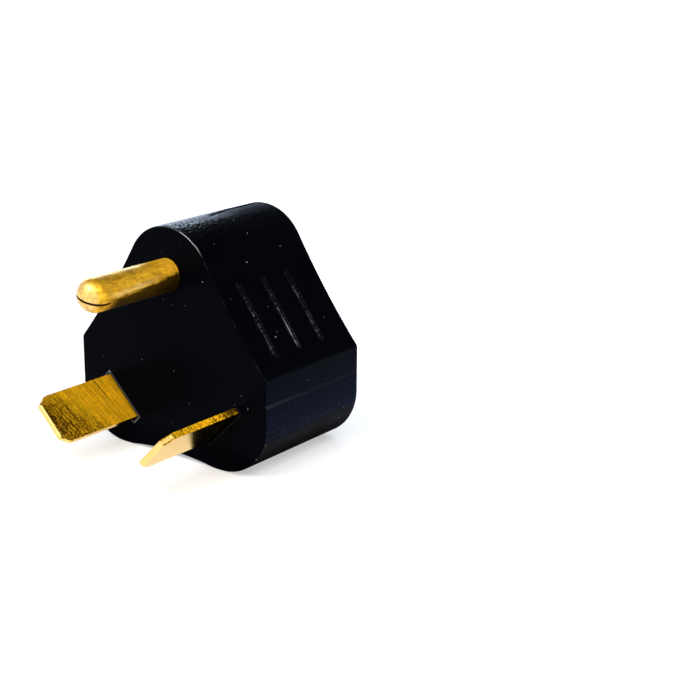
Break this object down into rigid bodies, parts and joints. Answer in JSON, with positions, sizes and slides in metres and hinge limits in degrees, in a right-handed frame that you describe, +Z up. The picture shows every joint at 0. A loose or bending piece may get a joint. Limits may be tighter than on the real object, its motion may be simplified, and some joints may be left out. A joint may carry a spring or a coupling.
{
  "type": "rv adapter plug",
  "caption": "Moulded adapter plug with angled brass blades and a round ground pin on one face and a grounded household receptacle on the other.",
  "frame": {"origin": "centre of the base, level with the two feet that the plug stands on", "axes": "+Z up from the base, -Y along the prongs, +X to the right when facing the prongs"},
  "size_m": [0.0476, 0.0509, 0.0459],
  "materials": {
    "body_plastic": "glossy moulded black",
    "core_plastic": "satin moulded black",
    "bridge_plastic": "plain moulded dark grey",
    "prong_brass": "brushed and polished",
    "contact_brass": "plain rolled strip"
  },
  "bodies": {
    "root": {"body": "body_plastic", "contact_core": "core_plastic", "prong_bridge": "bridge_plastic", "neutral_blade": "prong_brass", "hot_blade": "prong_brass", "ground_pin": "prong_brass", "neutral_contact": "contact_brass", "hot_contact": "contact_brass", "ground_contact": "contact_brass"}
  },
  "joints": []
}
